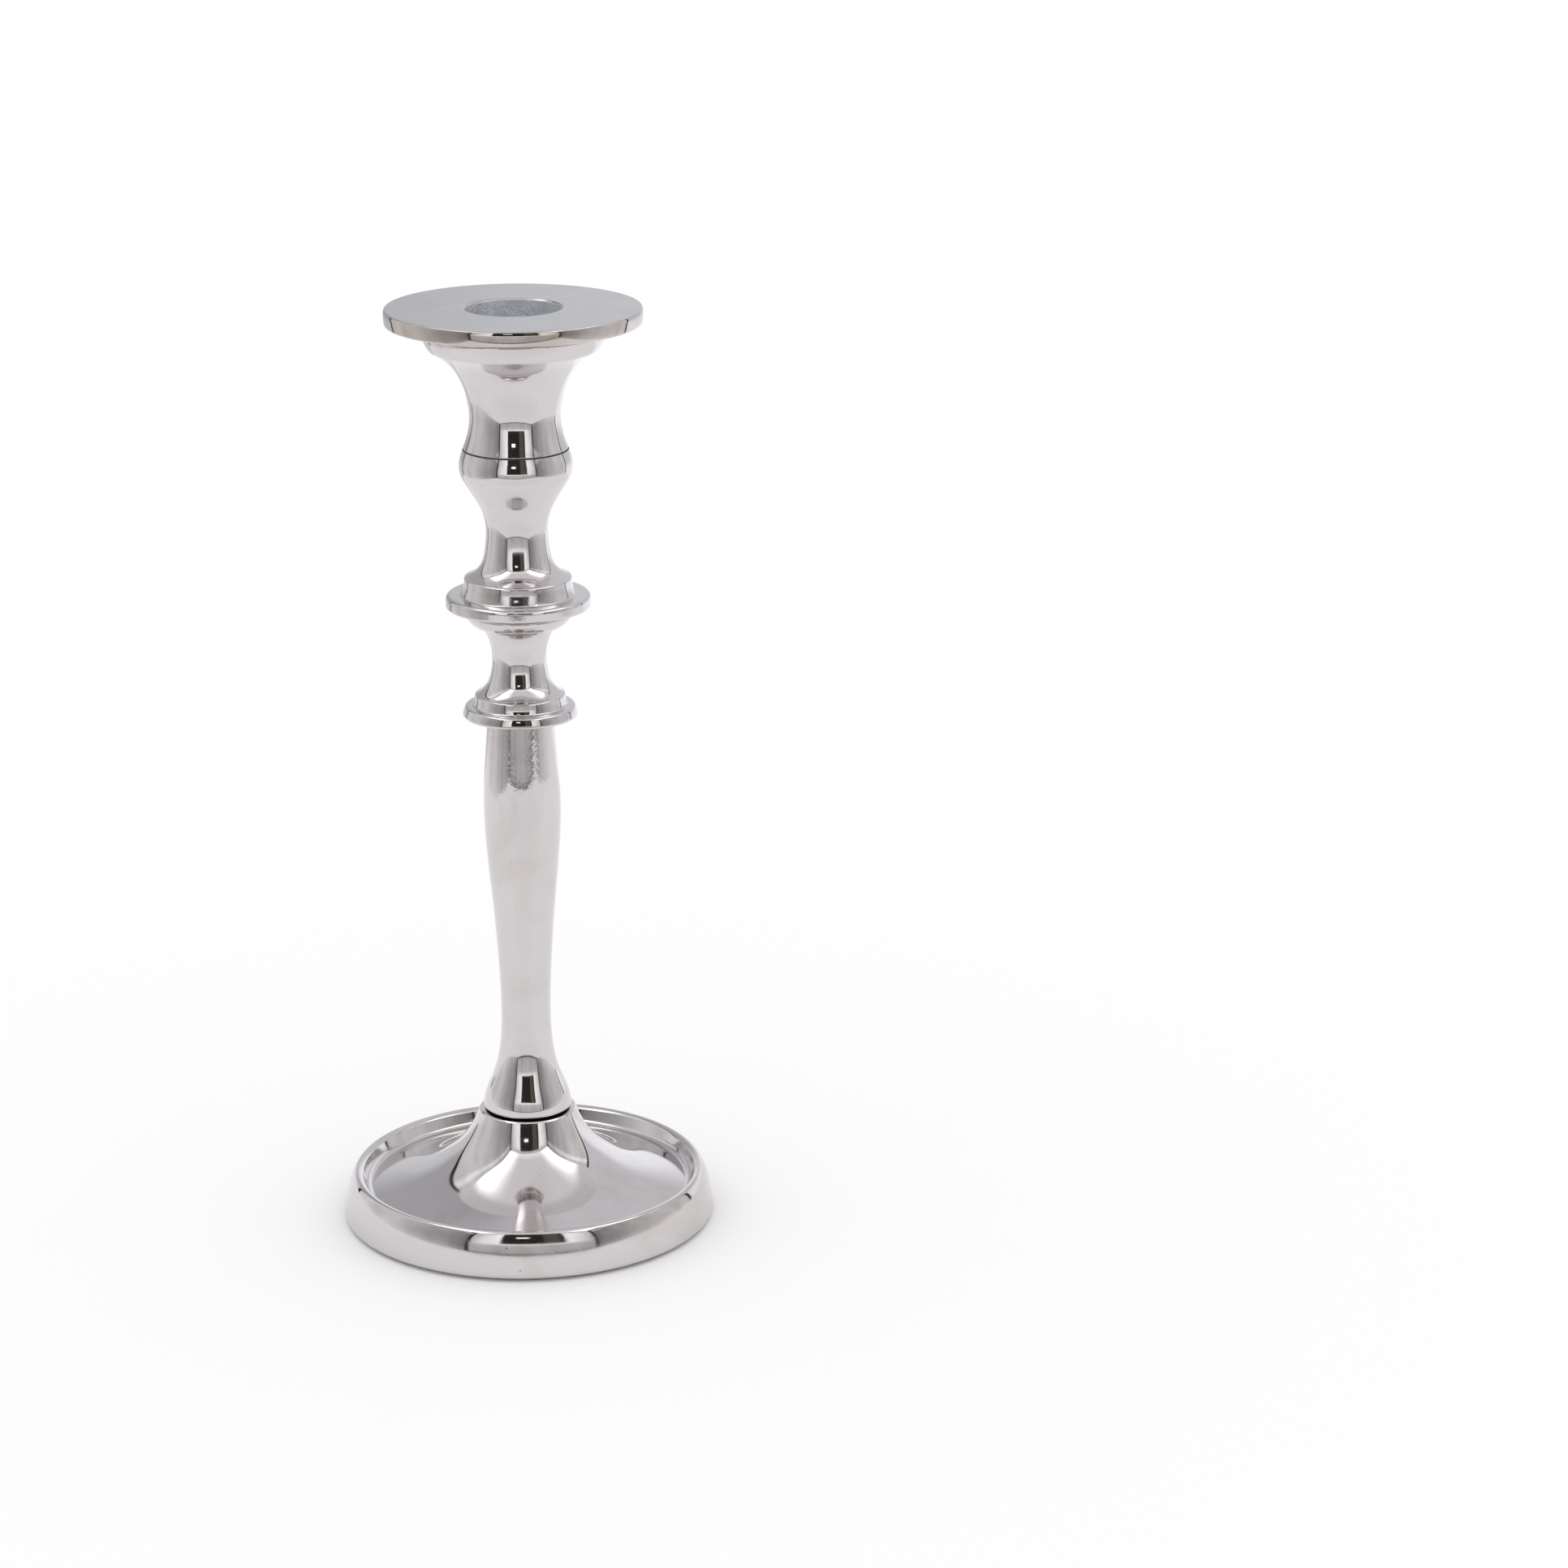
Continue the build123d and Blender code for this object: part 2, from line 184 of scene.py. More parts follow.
# ---- Outlines ------------------------------------------------------------------------------------
class Outline:
    """Points (radius, height) that close or end on the axis; each edge keeps its surface's finish."""

    def __init__(self, start, finish):
        self.points = [np.array(start, float)]
        self.finishes = []
        self.finish = finish

    def paint(self, finish):
        self.finish = finish
        return self

    def to(self, *points):
        for point in points:
            self.points.append(np.array(point, float))
            self.finishes.append(self.finish)
        return self

    def arc(self, middle, end):
        """Circular arc through middle to end."""
        a, b, c = self.points[-1], np.array(middle, float), np.array(end, float)
        rows = np.array([b - a, c - a])
        centre = np.linalg.solve(2 * rows, [b @ b - a @ a, c @ c - a @ a])
        return self._sweep(centre, b, c)

    def arc_from(self, tangent, end):
        """Circular arc to end, of less than half a turn, that leaves the last point along tangent."""
        a, c = self.points[-1], np.array(end, float)
        side = np.array([-tangent[1], tangent[0]], float)
        chord = c - a
        centre = a + side * (chord @ chord) / (2 * chord @ side)
        half_way = (a + c) / 2 - centre
        middle = centre + half_way / np.linalg.norm(half_way) * np.linalg.norm(a - centre)
        return self._sweep(centre, middle, c)

    def _sweep(self, centre, middle, end):
        """Points on the circle about centre, from the last point through middle to end."""
        def angle(p):
            return math.atan2(p[1] - centre[1], p[0] - centre[0])

        start_angle = angle(self.points[-1])
        to_middle = (angle(middle) - start_angle) % (2 * math.pi)
        to_end = (angle(end) - start_angle) % (2 * math.pi)
        if to_middle > to_end:
            to_end -= 2 * math.pi
        radius = np.linalg.norm(end - centre)
        steps = max(2, math.ceil(abs(to_end) / ARC_STEP), math.ceil(abs(to_end) * radius / CURVE_STEP))
        for k in range(1, steps):
            a = start_angle + to_end * k / steps
            self.to(centre + radius * np.array([math.cos(a), math.sin(a)]))
        return self.to(end)

    def curve(self, *points, leaving, arriving):
        """Smooth curve through points, with its directions at both ends."""
        p = np.array([self.points[-1], *points], float)
        gaps = np.linalg.norm(np.diff(p, axis=0), axis=1)
        slopes = _clamped_slopes(p, gaps, leaving, arriving)
        for i, gap in enumerate(gaps):
            steps = max(2, math.ceil(gap / CURVE_STEP))
            for k in range(1, steps + 1):
                t = k / steps
                ends = (2 * t**3 - 3 * t**2 + 1) * p[i] + (3 * t**2 - 2 * t**3) * p[i + 1]
                pulls = (t**3 - 2 * t**2 + t) * slopes[i] + (t**3 - t**2) * slopes[i + 1]
                self.to(ends + gap * pulls)
        return self

    def softened(self):
        """Points with corners buffed and straights divided, their finishes, and whether it closes."""
        closed = np.allclose(self.points[0], self.points[-1])
        corners = self.points[:-1] if closed else self.points
        points, finishes = [], []
        for i, p in enumerate(corners):
            finish = self.finishes[i % len(self.finishes)]
            u, v = p - corners[i - 1], corners[(i + 1) % len(corners)] - p
            turn = abs(math.remainder(math.atan2(v[1], v[0]) - math.atan2(u[1], u[0]), 2 * math.pi))
            if turn < SHARP_TURN or p[0] < ON_AXIS:
                points.append(p)
                finishes.append(finish)
                continue
            reach = EDGE_RADIUS * math.tan(min(turn, FOLDED_TURN) / 2)
            reach = min(reach, EDGE_SHARE * np.linalg.norm(u), EDGE_SHARE * np.linalg.norm(v))
            start, end = p - u / np.linalg.norm(u) * reach, p + v / np.linalg.norm(v) * reach
            for k in range(EDGE_STEPS + 1):
                t = k / EDGE_STEPS
                points.append((1 - t) ** 2 * start + 2 * t * (1 - t) * p + t**2 * end)
                finishes.append(finish)
        points, finishes = _divided(points, finishes, closed)
        return points, finishes, closed


def _clamped_slopes(p, gaps, leaving, arriving):
    """Slopes of the cubic spline through p with unit slopes along leaving and arriving."""
    n = len(p)
    system, right = np.zeros((n, n)), np.zeros((n, 2))
    system[0, 0] = system[-1, -1] = 1
    right[0] = np.array(leaving, float) / np.linalg.norm(leaving)
    right[-1] = np.array(arriving, float) / np.linalg.norm(arriving)
    for i in range(1, n - 1):
        a, b = gaps[i - 1], gaps[i]
        system[i, i - 1:i + 2] = [b, 2 * (a + b), a]
        right[i] = 3 * (b * (p[i] - p[i - 1]) / a + a * (p[i + 1] - p[i]) / b)
    return np.linalg.solve(system, right)


def _divided(points, finishes, closed):
    """The same points and finishes with more points along each long straight."""
    out, kept = [], []
    count = len(points)
    for i, (p, finish) in enumerate(zip(points, finishes)):
        out.append(p)
        kept.append(finish)
        if i == count - 1 and not closed:
            break
        q = points[(i + 1) % count]
        length = np.linalg.norm(q - p)
        if length <= 2 * CURVE_STEP:
            continue
        for d in (CORNER_STEP, *np.arange(FLAT_STEP, length - LAST_STEP, FLAT_STEP), length - CORNER_STEP):
            out.append(p + (q - p) * d / length)
            kept.append(finish)
    return out, kept


# ---- Meshes made of rings about the Z axis -----------------------------------------------------------
def add_ring(verts, radii, height):
    """Add a vertex at each angle, or a single one on the axis, and return their numbers.  In metres."""
    first = len(verts)
    if max(radii) < ON_AXIS * MM:
        verts.append((0.0, 0.0, height))
    else:
        verts.extend((r * math.cos(a), r * math.sin(a), height) for r, a in zip(radii, ANGLES))
    return list(range(first, len(verts)))


def faces_between(low, high):
    """The faces that join two rings, of which one may be a single vertex."""
    faces = []
    for k in range(SEGMENTS):
        n = (k + 1) % SEGMENTS
        if len(low) == 1:
            faces.append((low[0], high[n], high[k]))
        elif len(high) == 1:
            faces.append((low[k], low[n], high[0]))
        else:
            faces.append((low[k], low[n], high[n], high[k]))
    return faces


def add_piece(name, verts, faces, materials, indices):
    """A smooth closed piece in the scene; indices holds each face's place in materials."""
    mesh = bpy.data.meshes.new(name)
    mesh.from_pydata(verts, [], faces)
    for material in materials:
        mesh.materials.append(material)
    mesh.polygons.foreach_set("material_index", indices)
    mesh.polygons.foreach_set("use_smooth", [True] * len(faces))
    face_outward(mesh)
    piece = bpy.data.objects.new(name, mesh)
    bpy.context.scene.collection.objects.link(piece)
    return piece


def turned(name, outline, finishes):
    """A piece with an outline turned about Z.  finishes maps each finish to its material."""
    points, painted, closed = outline.softened()
    verts = []
    rings = [add_ring(verts, [r] * SEGMENTS, z) for r, z in np.array(points) * MM]
    slots = list(finishes)
    faces, indices = [], []
    for i in range(len(rings) if closed else len(rings) - 1):
        band = faces_between(rings[i], rings[(i + 1) % len(rings)])
        faces.extend(band)
        indices.extend([slots.index(painted[i])] * len(band))
    return add_piece(name, verts, faces, finishes.values(), indices)


def face_outward(mesh):
    """Turn a closed mesh's faces outward; its volume comes out negative where they face inward."""
    work = bmesh.new()
    work.from_mesh(mesh)
    if work.calc_volume(signed=True) < 0:
        bmesh.ops.reverse_faces(work, faces=work.faces)
    work.to_mesh(mesh)
    work.free()


# ---- The four castings ----------------------------------------------------------------------------
def foot_outline():
    line = Outline((board_recess_radius, foot_bottom), "polished")
    # Underside of the rim, lower edge, leaning outer wall and crest
    line.to((foot_radius - rim_lower_edge, foot_bottom))
    line.arc_from((1, 0), (foot_radius, foot_bottom + rim_lower_edge))
    line.curve((44.25, 7.0), (43.5, 9.6), (42.6, 11.3), leaving=(-0.105, 1), arriving=(-0.68, 1))
    line.arc_from((-0.68, 1), (rim_crest_radius, rim_top))
    line.arc_from((-1, 0), (40.5, 11.1))
    # Inner side of the rim and the hollow corner of the dish
    line.to((39.7, 9.2))
    line.arc((39.2, 8.4), (dish_corner_radius, dish_corner_height))
    # Dish floor sweeping up into the cone
    line.curve(
        (32.6, 9.42), (28.4, 10.7), (24.4, 12.55), (20.75, 14.9), (17.35, 17.7), (14.6, 21.1),
        (12.55, 25.0), (foot_neck_radius, foot_seam - seat_chamfer),
        leaving=(-1, 0.23), arriving=(-0.32, 1),
    )
    line.to((foot_neck_radius - seat_chamfer, foot_seam), (stem_base_radius - seat_polish, foot_seam))
    # Seat, with painted shade under the stem's edge, and recess for the stem, rod bore and the web's
    # underside
    line.paint("seam_shade").to((seam_radius, foot_seam))
    line.paint("cast")
    line.to((foot_recess_radius, foot_seam), (foot_recess_radius, foot_seam - recess_depth))
    line.to((rod_bore_radius, foot_seam - recess_depth))
    line.to((rod_bore_radius, web_underside), (web_radius, web_underside))
    # Hollow under the cone and the dish
    line.curve(
        (15.4, 16.9), (21.2, 11.9), (28.6, 7.3), (37.6, dish_corner_height - wall),
        leaving=(0.5, -1), arriving=(1, -0.08),
    )
    line.to((board_ledge_radius, board_top + board_ledge_height), (board_ledge_radius, board_top))
    return line.to((board_recess_radius, board_top), (board_recess_radius, foot_bottom))


def stem_outline():
    line = Outline((rod_bore_radius, foot_seam - spigot_length), "cast")
    line.to((foot_spigot_radius, foot_seam - spigot_length), (foot_spigot_radius, foot_seam))
    # Shadow gap over the foot's seat, with painted shade in it
    line.paint("seam_shade")
    line.to((seam_radius, foot_seam), (seam_radius, gap_top), (stem_base_radius - stem_lower_edge, gap_top))
    line.paint("polished")
    line.arc_from((1, 0), (stem_base_radius, gap_top + stem_lower_edge))
    # Bell base, waist, swell and taper to the collar
    line.curve(
        (10.3, 30.8), (9.6, 33.0), (8.2, 36.35), (6.9, 41.0), (stem_waist_radius, 52.5), (6.45, 65.5),
        (7.55, 80.3), (8.86, 95.0), (stem_swell_radius, 103.9), (9.17, 108.0), (9.05, 110.8), (8.65, 116.3),
        (8.22, 122.1), (stem_top_radius, stem_top),
        leaving=(-0.05, 1), arriving=(-0.073, 1),
    )
    # Seat under the collar, and its spigot
    line.paint("cast")
    line.to((collar_spigot_radius, stem_top), (collar_spigot_radius, stem_top + spigot_length))
    line.to((rod_bore_radius, stem_top + spigot_length))
    return line.to((rod_bore_radius, foot_seam - spigot_length))


def knop_outline():
    line = Outline((rod_bore_radius, stem_top + recess_depth), "cast")
    line.to((collar_recess_radius, stem_top + recess_depth), (collar_recess_radius, stem_top))
    line.to((collar_seat_radius, stem_top))
    # Lower collar with its leaning edge, and the drum flaring a little towards it
    line.paint("polished")
    line.to((lower_collar_radius - lower_collar_edge, stem_top))
    line.arc_from((1, 0), (lower_collar_radius, stem_top + lower_collar_edge))
    line.curve((13.42, 128.5), (13.15, 129.2), leaving=(-0.1, 1), arriving=(-0.52, 1))
    line.arc_from((-0.52, 1), (12.6, lower_collar_top))
    line.to((lower_drum_foot_radius + lower_drum_fillet_width, lower_collar_top))
    line.arc_from((-1, 0), (lower_drum_foot_radius, lower_collar_top + lower_drum_fillet_height))
    line.curve(
        (10.92, 130.5), (lower_drum_radius, lower_drum_top - lower_drum_edge),
        leaving=(-0.5, 1), arriving=(-0.06, 1),
    )
    line.arc_from((0, 1), (lower_drum_radius - lower_drum_edge, lower_drum_top))
    # Spool
    line.curve(
        (8.75, 133.65), (7.78, 134.9), (7.05, 136.8), (spool_radius, spool_middle), (7.0, 145.0),
        (8.8, ring_bottom),
        leaving=(-1, 0.5), arriving=(0.75, 1),
    )
    # Step ring, wide collar and upper drum
    line.to((9.2, ring_bottom))
    line.arc((11.4, 149.95), (ring_radius, ring_top - ring_edge))
    line.arc_from((0, 1), (ring_radius - ring_edge, ring_top))
    line.to((ring_step_radius, ring_top), (ring_step_radius, upper_collar_bottom))
    line.to((upper_collar_radius - collar_lower_edge, upper_collar_bottom))
    line.arc_from((1, 0), (upper_collar_radius, upper_collar_bottom + collar_lower_edge))
    line.to((upper_collar_radius, upper_collar_top - collar_upper_edge))
    line.arc_from((0, 1), (upper_collar_radius - collar_upper_edge, upper_collar_top))
    line.to((13.9, upper_collar_top))
    line.arc_from((-1, 0), (13.48, 156.98))
    line.curve((12.98, 158.3), (upper_drum_radius, 159.7), leaving=(-0.45, 1), arriving=(0, 1))
    line.to((upper_drum_radius, upper_drum_top - upper_drum_edge))
    line.arc_from((0, 1), (upper_drum_radius - upper_drum_edge, upper_drum_top))
    # Flared knop and the lower half of the bulb
    line.curve(
        (10.6, 161.85), (9.3, 163.05), (8.33, 164.9), (7.66, 168.0), (knop_waist_radius, 172.5),
        (8.04, 176.4), (9.8, 180.0), (12.1, 183.7), (13.08, 185.6), (bulb_radius, 187.3), (13.06, 189.8),
        (bulb_seam_radius + bulb_slope, bulb_seam - edge_break),
        leaving=(-1, 0.5), arriving=(-0.36, 1),
    )
    # Broken edge at the seam, with painted shade on it, then the joint face, recess and rod bore
    line.paint("seam_shade").to((bulb_seam_radius - edge_break, bulb_seam))
    line.paint("cast")
    line.to((bulb_recess_radius, bulb_seam), (bulb_recess_radius, bulb_seam - recess_depth))
    line.to((rod_bore_radius, bulb_seam - recess_depth))
    return line.to((rod_bore_radius, stem_top + recess_depth))


def cup_outline():
    line = Outline((0, bulb_seam + tapped_depth), "cast")
    line.to((tapped_radius, bulb_seam + tapped_depth), (tapped_radius, bulb_seam - spigot_length))
    line.to((bulb_spigot_radius, bulb_seam - spigot_length), (bulb_spigot_radius, bulb_seam))
    line.to((bulb_seam_radius - edge_break, bulb_seam))
    # Broken edge at the seam, with painted shade on it, then the upper half of the bulb and the flared neck
    line.paint("seam_shade").to((bulb_seam_radius - bulb_slope, bulb_seam + edge_break))
    line.paint("polished")
    line.curve(
        (11.33, 195.0), (cup_waist_radius, 199.2), (11.0, 202.5), (12.38, 207.5), (15.72, 212.5),
        (20.0, 215.55),
        leaving=(-0.4, 1), arriving=(1, 0.6),
    )
    # Step ring leaning out towards the plate, the plate's underside and its slightly barrelled edge
    line.arc((20.95, 217.2), (step_ring_radius, step_ring_top - step_ring_edge))
    line.arc_from((0.115, 1), (step_ring_radius - step_ring_edge, step_ring_top))
    line.to((step_ring_radius - step_ring_width, step_ring_top))
    line.to((step_ring_radius - step_ring_width, plate_bottom))
    line.to((29.52, plate_bottom))
    line.arc_from((1, 0), (29.97, plate_edge_bottom))
    line.arc((30.067, 222.9), (plate_radius, plate_edge_middle))
    line.arc_from((0, 1), (29.943, plate_edge_top))
    line.arc_from((-0.391, 0.921), (29.648, overall_height))
    # Plate top, chamfered mouth and socket
    line.paint("satin")
    line.to((socket_radius + socket_chamfer, overall_height))
    line.paint("polished")
    line.to((socket_radius, overall_height - socket_chamfer))
    line.paint("cast")
    line.to((socket_radius, overall_height - socket_depth))
    return line.to((0, overall_height - socket_depth))


# ---- Felt -------------------------------------------------------------------------------------------
# From the middle of the underside to the middle of the top: shares of the radius and of the thickness
FELT_RINGS = (
    (0.0, 0.0), (0.35, 0.0), (0.7, 0.0), (0.93, 0.0), (0.985, 0.06), (1.0, 0.35),
    (0.997, 0.75), (0.98, 1.0), (0.93, 1.0), (0.7, 1.0), (0.35, 1.0), (0.0, 1.0),
)
FELT_WAVES = ((7, 0.10, 0.6), (19, 0.08, 2.0), (43, 0.07, 0.0))   # how many, how deep in mm, phase
FELT_INSET = 0.25             # the waves together, so that the cut stays within the radius, mm
FELT_FADE = 8                 # the higher, the closer to the edge the waves stay


def ragged(angle):
    """How far the felt's cut edge is from its radius at an angle, mm."""
    waves = sum(depth * math.sin(count * angle + phase) for count, depth, phase in FELT_WAVES)
    return waves - FELT_INSET


def felt_disc():
    """A cut disc of felt with a soft edge and a slightly ragged outline."""
    verts, rings, faces = [], [], []
    for share, lift in FELT_RINGS:
        radii = [(felt_radius * share + ragged(a) * share**FELT_FADE) * MM for a in ANGLES]
        rings.append(add_ring(verts, radii, lift * felt_thickness * MM))
    for low, high in zip(rings, rings[1:]):
        faces.extend(faces_between(low, high))
    return add_piece("felt_disc", verts, faces, [felt_cloth()], [0] * len(faces))


# ---- Materials --------------------------------------------------------------------------------------
# Noise scales are per metre, heights of bumps are in metres, and colours are linear.
LEAST_RADIUS = 0.0001         # keeps a division by the radius finite, m


class Nodes:
    """Short calls to add and join shader nodes."""

    def __init__(self, name):
        self.material = bpy.data.materials.new(name)
        self.material.use_nodes = True
        self.tree = self.material.node_tree
        self.shader = self.tree.nodes["Principled BSDF"]
        self.place = self.add("ShaderNodeTexCoord").outputs["Object"]

    def add(self, kind, **settings):
        node = self.tree.nodes.new(kind)
        for key, value in settings.items():
            setattr(node, key, value)
        return node

    def put(self, value, socket):
        """Join value to socket where it comes from a node, or else set it: a colour is a tuple of three."""
        if isinstance(value, bpy.types.NodeSocket):
            self.tree.links.new(value, socket)
        elif isinstance(value, tuple):
            socket.default_value = (*value, 1)
        else:
            socket.default_value = value

    def math(self, operation, a, b=0.0):
        node = self.add("ShaderNodeMath", operation=operation)
        self.put(a, node.inputs[0])
        self.put(b, node.inputs[1])
        return node.outputs[0]

    def plus(self, a, b):
        return self.math("ADD", a, b)

    def times(self, a, b):
        return self.math("MULTIPLY", a, b)

    def noise(self, vector, scale, detail=2.0, roughness=0.5, distortion=0.0):
        node = self.add("ShaderNodeTexNoise")
        self.put(vector, node.inputs["Vector"])
        self.put(scale, node.inputs["Scale"])
        self.put(detail, node.inputs["Detail"])
        self.put(roughness, node.inputs["Roughness"])
        self.put(distortion, node.inputs["Distortion"])
        return node.outputs["Fac"]

    def stretched(self, vector, scale):
        node = self.add("ShaderNodeVectorMath", operation="MULTIPLY")
        self.put(vector, node.inputs[0])
        node.inputs[1].default_value = scale
        return node.outputs[0]

    def ranged(self, value, low, high, to_low, to_high, kind="LINEAR"):
        """Map value from low and high to to_low and to_high, and hold it there past both."""
        node = self.add("ShaderNodeMapRange", interpolation_type=kind)
        self.put(value, node.inputs["Value"])
        self.put(low, node.inputs["From Min"])
        self.put(high, node.inputs["From Max"])
        self.put(to_low, node.inputs["To Min"])
        self.put(to_high, node.inputs["To Max"])
        return node.outputs["Result"]

    def eased(self, value, low, high, to_low, to_high):
        """The same as ranged, with a soft start and a soft end."""
        return self.ranged(value, low, high, to_low, to_high, "SMOOTHSTEP")

    def blended(self, factor, a, b):
        """Colour a where factor is 0 and b where it is 1."""
        node = self.add("ShaderNodeMix", data_type="RGBA")
        self.put(factor, node.inputs["Factor"])
        self.put(a, node.inputs[6])
        self.put(b, node.inputs[7])
        return node.outputs[2]

    def bump(self, height, distance, strength=1.0, under=None):
        node = self.add("ShaderNodeBump")
        self.put(height, node.inputs["Height"])
        self.put(distance, node.inputs["Distance"])
        self.put(strength, node.inputs["Strength"])
        if under is not None:
            self.put(under, node.inputs["Normal"])
        return node.outputs["Normal"]

    def position(self):
        """x, y and z in metres."""
        split = self.add("ShaderNodeSeparateXYZ")
        self.put(self.place, split.inputs[0])
        return tuple(split.outputs)

    def round_the_axis(self, along_scale, round_scale):
        """Coordinates that run fast along the outline and slowly round the axis, without a seam."""
        x, y, z = self.position()
        radius = self.math("SQRT", self.plus(self.times(x, x), self.times(y, y)))
        radius = self.math("MAXIMUM", radius, LEAST_RADIUS)
        joined = self.add("ShaderNodeCombineXYZ")
        self.put(self.times(self.math("DIVIDE", x, radius), round_scale), joined.inputs[0])
        self.put(self.times(self.math("DIVIDE", y, radius), round_scale), joined.inputs[1])
        self.put(self.times(self.plus(z, radius), along_scale), joined.inputs[2])
        return joined.outputs[0]

    def paint(self, colour, roughness, normal=None, metallic=0.0):
        """The finished material of a surface."""
        self.put(colour, self.shader.inputs["Base Color"])
        self.put(roughness, self.shader.inputs["Roughness"])
        self.put(metallic, self.shader.inputs["Metallic"])
        if normal is not None:
            self.put(normal, self.shader.inputs["Normal"])
        return self.material

    def glow(self, colour, strength):
        """The finished material of a surface that only gives light."""
        emission = self.add("ShaderNodeEmission")
        self.put(colour, emission.inputs["Color"])
        self.put(strength, emission.inputs["Strength"])
        self.put(emission.outputs[0], self.tree.nodes["Material Output"].inputs["Surface"])
        self.tree.nodes.remove(self.shader)
        return self.material


# Heights (mm, low to high) where the polishing stayed coarse, and how grainy and how dull it is there
COARSE_BANDS = (
    (0.8, 10.3, 1.2, 0.03),
    (108.0, 127.5, 4.2, 0.012),
    (129.4, 130.9, 1.2, 0.01),
    (148.0, 149.4, 2.0, 0.03),
    (156.5, 159.8, 5.0, 0.06),
    (160.8, 162.5, 1.0, 0.05),
)
BAND_CORE = 0.8               # share of a band that is coarse in full
# The plate's edge has a painted reflection of dark surroundings, brownish: from none to most over these
# heights, mm
PAINTED_EDGE_START, PAINTED_EDGE_END = plate_bottom - 1.0, plate_bottom + 0.3


def polished_metal():
    """Buffed nickel: a mirror with turning lines, polishing waves, hairlines, stains and pin holes."""
    n = Nodes("polished_nickel")
    haze = n.noise(n.place, 90.0, 3.0)
    stain = n.noise(n.place, 38.0, 4.0, 0.6, 0.4)
    lines = n.noise(n.round_the_axis(3500.0, 1.2), 1.0, 3.0, 0.6)
    waves = n.noise(n.place, 115.0, 1.0)
    hairs = n.noise(n.stretched(n.place, (260.0, 1900.0, 500.0)), 1.0, 4.0, 0.7, 0.6)
    grain = n.noise(n.stretched(n.place, (1500.0, 1500.0, 900.0)), 1.0, 2.0, 0.6)
    patchy = n.noise(n.place, 60.0, 2.0)
    pins = n.ranged(n.noise(n.place, 900.0, 1.0), 0.785, 0.82, 0.0, 0.6)
    worn = n.ranged(n.noise(n.place, 30.0, 1.0), 0.48, 0.66, 0.12, 0.8)
    dull = 0.0
    z = n.position()[2]
    for low, high, grainy, duller in COARSE_BANDS:
        middle, half = (low + high) / 2 * MM, (high - low) / 2 * MM
        off = n.math("ABSOLUTE", n.math("SUBTRACT", z, middle))
        within = n.eased(off, BAND_CORE * half, half, 1.0, 0.0)
        worn = n.plus(worn, n.times(within, grainy))
        dull = n.plus(n.times(within, duller), dull)
    colour = n.blended(haze, (0.665, 0.64, 0.65), (0.63, 0.605, 0.61))
    colour = n.blended(n.ranged(stain, 0.52, 0.74, 0.0, 0.55), colour, (0.50, 0.455, 0.42))
    # Painted reflection: a patchy brownish darkening of the plate's edge and everything above it
    edge_reflection = n.ranged(z, PAINTED_EDGE_START * MM, PAINTED_EDGE_END * MM, 0.0, 0.85)
    edge_reflection = n.times(edge_reflection, n.ranged(patchy, 0.36, 0.6, 0.35, 1.0))
    colour = n.blended(edge_reflection, colour, (0.53, 0.475, 0.435))
    colour = n.blended(pins, colour, (0.16, 0.13, 0.11))
    roughness = n.plus(n.ranged(haze, 0.3, 0.7, 0.035, 0.085), n.ranged(hairs, 0.60, 0.75, 0.0, 0.08))
    roughness = n.plus(roughness, dull)
    normal = n.bump(waves, 0.00004, 0.5)
    normal = n.bump(n.times(grain, worn), 0.000006, 0.5, normal)
    normal = n.bump(lines, 0.0000016, 0.5, normal)
    return n.paint(colour, roughness, normal, 1.0)


def satin_metal():
    """The plate's top: faced on the lathe and brushed, so it has no clear reflections."""
    n = Nodes("satin_nickel")
    lines = n.noise(n.round_the_axis(5200.0, 2.0), 1.0, 3.0, 0.7)
    haze = n.noise(n.place, 120.0, 3.0)
    colour = n.blended(haze, (0.64, 0.635, 0.65), (0.60, 0.595, 0.61))
    roughness = n.plus(n.ranged(haze, 0.3, 0.7, 0.27, 0.33), n.ranged(lines, 0.3, 0.7, -0.03, 0.04))
    normal = n.bump(lines, 0.000006, 0.6)
    return n.paint(colour, roughness, normal, 1.0)


def cast_metal():
    """Unpolished metal in the socket, bores and hollow: grainy, dull, with small pits."""
    n = Nodes("cast_nickel")
    grain = n.noise(n.place, 1300.0, 4.0, 0.7)
    blotch = n.noise(n.place, 260.0, 3.0)
    shade = n.plus(n.ranged(blotch, 0.3, 0.7, 0.0, 0.6), n.ranged(grain, 0.35, 0.7, 0.0, 0.4))
    colour = n.blended(shade, (0.62, 0.64, 0.67), (0.88, 0.90, 0.93))
    roughness = n.ranged(grain, 0.3, 0.7, 0.42, 0.62)
    normal = n.bump(grain, 0.0004, 0.6)
    return n.paint(colour, roughness, normal, 1.0)


def seam_shade():
    """Painted shade in the seams: near-black, flecked."""
    n = Nodes("painted_seam_shade")
    speck = n.noise(n.place, 1200.0, 3.0)
    colour = n.blended(n.ranged(speck, 0.4, 0.7, 0.0, 1.0), (0.012, 0.010, 0.009), (0.05, 0.043, 0.036))
    return n.paint(colour, 0.7)


def zinc_steel():
    """Bright zinc plate with a faint blue-yellow bloom and fine scratches."""
    n = Nodes("zinc_steel")
    bloom = n.noise(n.place, 240.0, 2.0)
    hairs = n.noise(n.stretched(n.place, (700.0, 2600.0, 900.0)), 1.0, 3.0, 0.7)
    colour = n.blended(bloom, (0.62, 0.66, 0.72), (0.70, 0.68, 0.58))
    roughness = n.plus(n.ranged(bloom, 0.3, 0.7, 0.24, 0.36), n.ranged(hairs, 0.55, 0.75, 0.0, 0.12))
    normal = n.bump(hairs, 0.00001, 0.5)
    return n.paint(colour, roughness, normal, 1.0)


